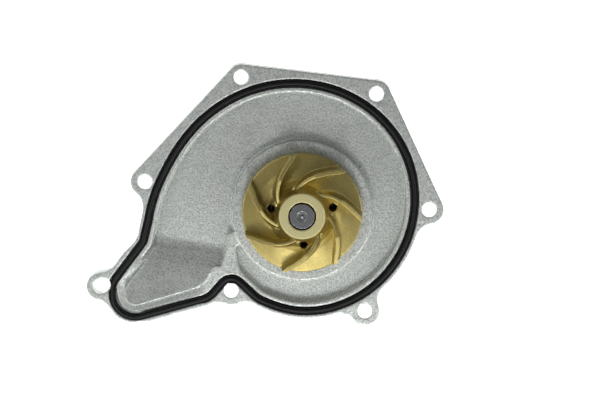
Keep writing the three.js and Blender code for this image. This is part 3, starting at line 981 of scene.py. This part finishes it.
def seal_casing_mesh():
    """The stamped cup of the shaft seal, with its flange turned out over the boss."""
    low, high = span_of("shaft_seal_casing")
    outer = SEAL_BORE_RADIUS - 0.25
    profile = [
        (8.2, low, 0.2),
        (outer, low, 1.6),
        (outer, high - 0.7, 0.3),
        (20.4, high - 0.7, 0.25),
        (20.4, high, 0.3),
        (outer - 0.8, high, 0.9),
        (outer - 0.8, low + 0.8, 0.9),
        (8.2, low + 0.8, 0.25),
    ]
    return lathe(profile)


def bellows_mesh():
    low, high = span_of("shaft_seal_bellows")
    profile = [
        (8.2, low, 0.3),
        (12.8, low, 0.4),
        (12.8, low + 1.1, 0.4),
        (11.2, low + 1.5, 0.35),
        (12.4, low + 2.7, 0.4),
        (12.4, high, 0.4),
        (8.2, high, 0.3),
        (8.2, low + 3.1, 0.2),
        (9.4, low + 2.5, 0.35),
        (8.2, low + 1.3, 0.2),
    ]
    return lathe(profile, arc_step=20)


def spring_mesh():
    """A helix of round wire with rounded ends."""
    low, high = height("shaft_seal_spring", 0) + 0.8, height("shaft_seal_spring", 1) - 0.8
    wire, coil, turns, around = 0.8, 14.6, 2.5, 20
    count = 200
    vertices = []
    spin = np.linspace(0, 2 * math.pi, around, endpoint=False)
    stations = [(0, a) for a in np.linspace(0, 90, 6)] + [(t, 90) for t in np.linspace(0, 1, count)]
    stations += [(1, a) for a in np.linspace(90, 180, 6)]
    for t, cap in stations:
        turn = 2 * math.pi * turns * t
        outward = np.array((math.cos(turn), math.sin(turn), 0))
        along = np.array((-math.sin(turn), math.cos(turn), 0))
        centre = outward * coil + (0, 0, low + (high - low) * t)
        shift = -along * wire * math.cos(math.radians(cap))
        rim = max(0.02, math.sin(math.radians(cap))) * wire
        for a in spin:
            lift = np.array((0, 0, 1)) * rim * math.sin(a)
            vertices.append(centre + shift + outward * rim * math.cos(a) + lift)
    return np.array(vertices), sleeve_faces(len(stations), around)


def carbon_ring_mesh():
    low, high = span_of("shaft_seal_carbon_ring")
    profile = [
        (8.0, low, 0.2),
        (10.6, low, 0.3),
        (10.6, high - 1.0, 0.2),
        (9.9, high - 0.8, 0.1),
        (9.9, high, 0.1),
        (8.0, high, 0.1),
    ]
    return lathe(profile)


def seat_ring_mesh():
    return lathe(ring_profile(7.4, 10.9, *span_of("shaft_seal_seat_ring"), 0.25))


def seat_boot_mesh():
    low, high = span_of("shaft_seal_seat_boot")
    step = high - 1.0
    profile = [
        (7.3, step, 0.2),
        (11.2, step, 0.1),
        (11.2, low, 0.3),
        (12.2, low, 0.35),
        (12.2, high, 0.4),
        (7.3, high, 0.3),
    ]
    return lathe(profile)


def sleeve_mesh():
    return lathe(ring_profile(6.6, 7.1, *span_of("shaft_seal_sleeve"), 0.12))


# ---- Materials ----


class Finish:
    """A procedural material built up node by node; its pattern sizes are in millimetres."""

    def __init__(self, name, metallic=0.0, specular=0.5):
        self.material = bpy.data.materials.new(name)
        self.material.use_nodes = True
        self.tree = self.material.node_tree
        self.surface = self.tree.nodes["Principled BSDF"]
        self.surface.inputs["Metallic"].default_value = metallic
        self.surface.inputs["Specular IOR Level"].default_value = specular
        self.place = self.node("ShaderNodeTexCoord").outputs["Object"]

    def node(self, kind, links=(), **settings):
        made = self.tree.nodes.new(kind)
        for key, value in settings.items():
            setattr(made, key, value)
        for socket, source in dict(links).items():
            self.feed(made.inputs[socket], source)
        return made

    def feed(self, socket, source):
        if isinstance(source, bpy.types.NodeSocket):
            self.tree.links.new(source, socket)
        elif socket.type == "RGBA":
            socket.default_value = (*source, 1)
        else:
            socket.default_value = source

    def noise(self, size, detail=4.0, roughness=0.55, stretch=(1, 1, 1), shift=0.0):
        """Soft noise from 0 to 1 with features of a size, longer along an axis whose stretch is above 1."""
        scale = [1 / (MM * size * s) for s in stretch]
        links = {"Vector": self.place, "Scale": scale, "Location": [shift] * 3}
        mapped = self.node("ShaderNodeMapping", links).outputs["Vector"]
        links = {"Vector": mapped, "Scale": 1.0, "Detail": detail, "Roughness": roughness}
        return self.node("ShaderNodeTexNoise", links).outputs["Fac"]

    def rings(self, pitch):
        """Fine turning marks round the shaft axis, from 0 to 1."""
        parts = self.node("ShaderNodeSeparateXYZ", {"Vector": self.place})
        x, y, z = (parts.outputs[i] for i in range(3))
        radius = self.math("SQRT", self.math("ADD", self.math("MULTIPLY", x, x), self.math("MULTIPLY", y, y)))
        along = self.math("ADD", radius, self.math("MULTIPLY", z, 0.9))
        turns = self.math("MULTIPLY", along, 1 / (MM * pitch))
        links = {"W": turns, "Scale": 1.0, "Detail": 3.0}
        return self.node("ShaderNodeTexNoise", links, noise_dimensions="1D").outputs["Fac"]

    def math(self, operation, a, b=0.0):
        made = self.node("ShaderNodeMath", operation=operation)
        self.feed(made.inputs[0], a)
        self.feed(made.inputs[1], b)
        return made.outputs[0]

    def span(self, value, low=0.35, high=0.7, bottom=0.0, top=1.0):
        """Moves values between low and high to the span from bottom to top, cut off outside it."""
        links = {"Value": value, "From Min": low, "From Max": high, "To Min": bottom, "To Max": top}
        return self.node("ShaderNodeMapRange", links).outputs["Result"]

    def mixed(self, share, a, b):
        """Colour b laid over colour a in proportion to share."""
        made = self.node("ShaderNodeMix", data_type="RGBA")
        self.feed(made.inputs["Factor"], share)
        self.feed(made.inputs["A"], a)
        self.feed(made.inputs["B"], b)
        return made.outputs["Result"]

    def above(self, level):
        """1 above a level along the shaft axis and 0 below it."""
        parts = self.node("ShaderNodeSeparateXYZ", {"Vector": self.place})
        return self.span(parts.outputs[2], (level - 0.1) * MM, (level + 0.1) * MM)

    def near(self, centres, outer, inner):
        """1 within the inner radius of any upright line through the centres, 0 outside the outer radius."""
        flat = self.node("ShaderNodeVectorMath", operation="MULTIPLY")
        self.feed(flat.inputs[0], self.place)
        flat.inputs[1].default_value = (1, 1, 0)
        closest = 1.0
        for x, y in centres:
            gap = self.node("ShaderNodeVectorMath", operation="DISTANCE")
            self.feed(gap.inputs[0], flat.outputs["Vector"])
            gap.inputs[1].default_value = (x * MM, y * MM, 0)
            closest = self.math("MINIMUM", gap.outputs["Value"], closest)
        return self.span(closest, outer * MM, inner * MM)

    def edges(self, strength):
        """Rises to a strength on outer edges, 0 elsewhere; the finishes lighten their edges through it,
        partly as wear and partly as a painted highlight.
        """
        pointiness = self.node("ShaderNodeNewGeometry").outputs["Pointiness"]
        return self.span(pointiness, 0.52, 0.62, 0, strength)

    def worn(self, a, b, low, high):
        """A roughness between low and high that follows two patterns together."""
        return self.span(self.math("ADD", a, b), 0.7, 1.3, low, high)

    def finish(self, colour, roughness, bumps):
        """Sets the colour, the roughness and bumps, pairs of (pattern, depth in millimetres)."""
        self.feed(self.surface.inputs["Base Color"], colour)
        self.feed(self.surface.inputs["Roughness"], roughness)
        normal = None
        for pattern, depth in bumps:
            links = {"Height": pattern, "Distance": MM * depth, "Strength": 1.0}
            if normal is not None:
                links["Normal"] = normal
            normal = self.node("ShaderNodeBump", links).outputs["Normal"]
        self.feed(self.surface.inputs["Normal"], normal)
        return self.material


def cast_aluminium():
    look = Finish("cast_aluminium", metallic=0.9)
    blotches = look.noise(26, 5, 0.6)
    patches = look.noise(6, 6, 0.6, shift=3.1)
    grain = look.noise(0.8, 2, 0.7)
    pits = look.noise(1.2, 3, 0.7, shift=5.2)
    colour = look.mixed(look.span(blotches, 0.35, 0.65), (0.73, 0.76, 0.725), (0.82, 0.85, 0.81))
    colour = look.mixed(look.span(patches, 0.5, 0.75, 0, 0.5), colour, (0.67, 0.70, 0.665))
    colour = look.mixed(look.span(grain, 0.4, 0.66, 0, 0.85), colour, (0.36, 0.38, 0.36))
    colour = look.mixed(look.span(pits, 0.62, 0.72, 0, 0.45), colour, (0.30, 0.31, 0.30))
    colour = look.mixed(look.span(pits, 0.36, 0.27, 0, 0.35), colour, (0.95, 0.96, 0.94))
    # Lighter outer edges: partly edge wear, partly a painted highlight where the edges catch the light.
    colour = look.mixed(look.edges(0.3), colour, (0.90, 0.92, 0.89))
    bored = look.near(BOLTS.values(), BOLT_RADIUS + 0.25, BOLT_RADIUS + 0.1)
    bored = look.math("SUBTRACT", bored, look.math("MULTIPLY", bored, look.above(FLANGE_FACE - 0.5)))
    colour = look.mixed(bored, colour, (0.90, 0.91, 0.90))
    roughness = look.worn(patches, grain, 0.38, 0.55)
    roughness = look.math("SUBTRACT", roughness, look.math("MULTIPLY", bored, 0.25))
    return look.finish(colour, roughness, [(grain, 0.09), (look.noise(2.6, 4, 0.6, shift=1.7), 0.12)])


def brass():
    look = Finish("brass", metallic=1.0)
    tarnish = look.noise(9, 5, 0.65)
    fine = look.noise(0.7, 3, 0.6)
    marks = look.rings(0.3)
    face = look.above(HUB_FACE - 0.25)
    colour = look.mixed(look.span(tarnish), (0.63, 0.525, 0.19), (0.46, 0.37, 0.13))
    colour = look.mixed(look.span(fine, 0.4, 0.7, 0, 0.5), colour, (0.31, 0.25, 0.10))
    turned = look.mixed(look.span(marks, 0.3, 0.7), (0.79, 0.735, 0.40), (0.55, 0.50, 0.26))
    colour = look.mixed(face, colour, turned)
    # Lighter yellow outer edges: partly rubbed brass, partly a painted highlight on the rims and vane crests.
    colour = look.mixed(look.edges(0.5), colour, (0.90, 0.82, 0.50))
    roughness = look.worn(tarnish, fine, 0.37, 0.46)
    roughness = look.math("ADD", roughness, look.math("MULTIPLY", face, 0.12))
    return look.finish(colour, roughness, [(look.math("MULTIPLY", marks, face), 0.02), (fine, 0.02)])


def steel():
    look = Finish("steel", metallic=1.0)
    marks = look.rings(0.12)
    stain = look.noise(4, 4, 0.6)
    colour = look.mixed(look.span(stain), (0.33, 0.34, 0.35), (0.22, 0.22, 0.23))
    roughness = look.worn(stain, marks, 0.22, 0.4)
    return look.finish(colour, roughness, [(marks, 0.006), (look.noise(0.6, 3), 0.008)])


def hub_steel():
    look = Finish("hub_steel", metallic=1.0)
    marks = look.rings(0.4)
    stain = look.noise(7, 5, 0.65)
    fine = look.noise(0.6, 3)
    colour = look.mixed(look.span(stain), (0.55, 0.55, 0.55), (0.40, 0.39, 0.38))
    # Lighter outer edges: partly edge wear, partly a painted highlight.
    colour = look.mixed(look.edges(0.6), colour, (0.75, 0.75, 0.75))
    roughness = look.worn(stain, marks, 0.28, 0.48)
    return look.finish(colour, roughness, [(marks, 0.015), (fine, 0.02)])


def seal_rubber():
    look = Finish("seal_rubber", specular=0.35)
    dust = look.noise(5, 5, 0.65)
    fine = look.noise(0.45, 3, 0.6)
    colour = look.mixed(look.span(dust, 0.45, 0.8), (0.005, 0.005, 0.006), (0.014, 0.014, 0.015))
    roughness = look.worn(dust, fine, 0.34, 0.5)
    return look.finish(colour, roughness, [(fine, 0.03), (look.noise(3, 2, shift=2.0), 0.06)])


def cage_plastic():
    look = Finish("cage_plastic", specular=0.45)
    flow = look.noise(3, 4, 0.6, stretch=(1, 1, 3))
    fine = look.noise(0.4, 3, 0.6)
    colour = look.mixed(look.span(flow), (0.055, 0.045, 0.028), (0.085, 0.072, 0.048))
    roughness = look.worn(flow, fine, 0.4, 0.6)
    return look.finish(colour, roughness, [(fine, 0.02), (flow, 0.03)])


def carbon():
    look = Finish("carbon", specular=0.5)
    marks = look.rings(0.25)
    fine = look.noise(0.35, 3, 0.6)
    colour = look.mixed(look.span(fine), (0.018, 0.018, 0.02), (0.04, 0.04, 0.042))
    roughness = look.worn(marks, fine, 0.3, 0.5)
    return look.finish(colour, roughness, [(fine, 0.015), (marks, 0.008)])


def ceramic():
    look = Finish("ceramic", specular=0.6)
    marks = look.rings(0.3)
    cloud = look.noise(2.5, 4, 0.6)
    colour = look.mixed(look.span(cloud), (0.06, 0.062, 0.068), (0.1, 0.105, 0.11))
    roughness = look.worn(marks, cloud, 0.12, 0.26)
    return look.finish(colour, roughness, [(marks, 0.004), (look.noise(0.5, 2), 0.006)])


MAKERS = (cast_aluminium, brass, steel, hub_steel, seal_rubber, cage_plastic, carbon, ceramic)
FINISHES = {make.__name__: make() for make in MAKERS}


# ---- Assembly ----


def body_name(node):
    return next(name for name, nodes in frame["record"]["behaviour"]["bodies"].items() if node in nodes)


def add_piece(node, mesh, slot):
    """One finely modelled piece that stands for a CAD node and moves with its body."""
    vertices, faces = mesh
    data = bpy.data.meshes.new(node + "_detail")
    data.from_pydata((np.asarray(vertices) * MM).tolist(), [], [list(map(int, face)) for face in faces])
    data.validate()
    data.polygons.foreach_set("use_smooth", [True] * len(data.polygons))
    if node in CRISP_NODES:
        data.set_sharp_from_angle(angle=CRISP_ANGLE)
    piece = bpy.data.objects.new(node + "_detail", data)
    bpy.context.scene.collection.objects.link(piece)
    data.materials.append(FINISHES[slot])
    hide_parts(node)
    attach(piece, body_name(node))
    return piece


# Nodes whose edges stay crisp where two faces meet at more than an angle
CRISP_NODES = ("pump_housing", "impeller")
CRISP_ANGLE = math.radians(34)

# Each piece's mesh and finish
PIECES = {
    "pump_housing": (cover_mesh, "cast_aluminium"),
    "flange_seal": (seal_mesh, "seal_rubber"),
    "impeller": (impeller_mesh, "brass"),
    "pump_shaft": (shaft_mesh, "steel"),
    "drive_hub": (drive_hub_mesh, "hub_steel"),
    "bearing_outer_ring": (outer_ring_mesh, "steel"),
    "bearing_lip_seal_rear": (lambda: lip_seal_mesh("bearing_lip_seal_rear", 1), "seal_rubber"),
    "bearing_lip_seal_front": (lambda: lip_seal_mesh("bearing_lip_seal_front", -1), "seal_rubber"),
    "shaft_seal_casing": (seal_casing_mesh, "steel"),
    "shaft_seal_bellows": (bellows_mesh, "seal_rubber"),
    "shaft_seal_spring": (spring_mesh, "steel"),
    "shaft_seal_carbon_ring": (carbon_ring_mesh, "carbon"),
    "shaft_seal_seat_ring": (seat_ring_mesh, "ceramic"),
    "shaft_seal_seat_boot": (seat_boot_mesh, "seal_rubber"),
    "shaft_seal_sleeve": (sleeve_mesh, "brass"),
    "ball_cage": (lambda: cage_mesh("ball_cage", ball_pocket), "cage_plastic"),
    "roller_cage": (lambda: cage_mesh("roller_cage", roller_pocket), "cage_plastic"),
}


def add_pieces():
    for node, (shape, finish) in PIECES.items():
        add_piece(node, shape(), finish)
    for node in sorted(frame["nodes"]):
        if node.startswith("bearing_ball_"):
            add_piece(node, ball_mesh(node), "steel")
        elif node.startswith("bearing_roller_"):
            add_piece(node, roller_mesh(node), "steel")


add_pieces()


# ---- Camera, floor and light ----

# Camera and light are set in metres
VIEW_TILT = math.radians(8.7)
VIEW_DISTANCE = 1.2
VIEW_POINT = (-0.001, 0.0052)
LENS = 151.2
FLOOR_GLOW = 0.8
WORLD_FILL = 0.12


def add_camera():
    camera = bpy.data.objects.new("camera", bpy.data.cameras.new("camera"))
    bpy.context.scene.collection.objects.link(camera)
    x, y, z = *VIEW_POINT, FLANGE_FACE * MM
    camera.location = (x, y + VIEW_DISTANCE * math.sin(VIEW_TILT), z + VIEW_DISTANCE * math.cos(VIEW_TILT))
    camera.rotation_euler = (-VIEW_TILT, 0, 0)
    camera.data.lens = LENS
    camera.data.clip_end = 20
    bpy.context.scene.camera = camera


def add_floor():
    size = 4.0
    data = bpy.data.meshes.new("floor")
    corners = [(-size, -size, 0), (size, -size, 0), (size, size, 0), (-size, size, 0)]
    data.from_pydata(corners, [], [(0, 1, 2, 3)])
    floor = bpy.data.objects.new("floor", data)
    floor.location.z = -0.5 * MM
    bpy.context.scene.collection.objects.link(floor)
    material = bpy.data.materials.new("floor_white")
    material.use_nodes = True
    surface = material.node_tree.nodes["Principled BSDF"]
    surface.inputs["Base Color"].default_value = (0.9, 0.9, 0.9, 1)
    surface.inputs["Roughness"].default_value = 0.9
    surface.inputs["Emission Color"].default_value = (1, 1, 1, 1)
    surface.inputs["Emission Strength"].default_value = FLOOR_GLOW
    data.materials.append(material)


LIGHT_DISTANCE = 0.6
LIGHT_SIZE = 0.22

# Softboxes round the object: (lean from the shaft axis, direction round it, power in watts)
SOFTBOXES = [
    (25, -90, 0.17),
    (40, -90, 0.82),
    (60, -45, 0.91),
    (60, -135, 0.83),
    (60, 0, 0.47),
    (60, 180, 0.46),
    (40, 135, 0.37),
]


def add_softbox(lean, around, power):
    light = bpy.data.lights.new("softbox", "AREA")
    light.size = LIGHT_SIZE
    light.energy = power
    box = bpy.data.objects.new("softbox", light)
    lean, around = math.radians(lean), math.radians(around)
    away = Vector((math.sin(lean) * math.cos(around), math.sin(lean) * math.sin(around), math.cos(lean)))
    box.location = Vector((0, 0, FLANGE_FACE * MM)) + away * LIGHT_DISTANCE
    box.rotation_euler = (-away).to_track_quat("-Z", "Y").to_euler()
    box.visible_camera = False
    bpy.context.scene.collection.objects.link(box)


def add_world():
    """A pale backdrop for the camera, and a dim even fill light on everything else."""
    world = bpy.data.worlds.new("studio")
    world.use_nodes = True
    nodes, links = world.node_tree.nodes, world.node_tree.links
    nodes["Background"].inputs["Color"].default_value = (0.95, 0.97, 1.0, 1)
    ray = nodes.new("ShaderNodeLightPath")
    strength = nodes.new("ShaderNodeMapRange")
    strength.inputs["To Min"].default_value = WORLD_FILL
    strength.inputs["To Max"].default_value = 0.9
    links.new(ray.outputs["Is Camera Ray"], strength.inputs["Value"])
    links.new(strength.outputs["Result"], nodes["Background"].inputs["Strength"])
    bpy.context.scene.world = world


add_camera()
add_floor()
for softbox in SOFTBOXES:
    add_softbox(*softbox)
add_world()
bpy.context.scene.view_settings.view_transform = "Standard"
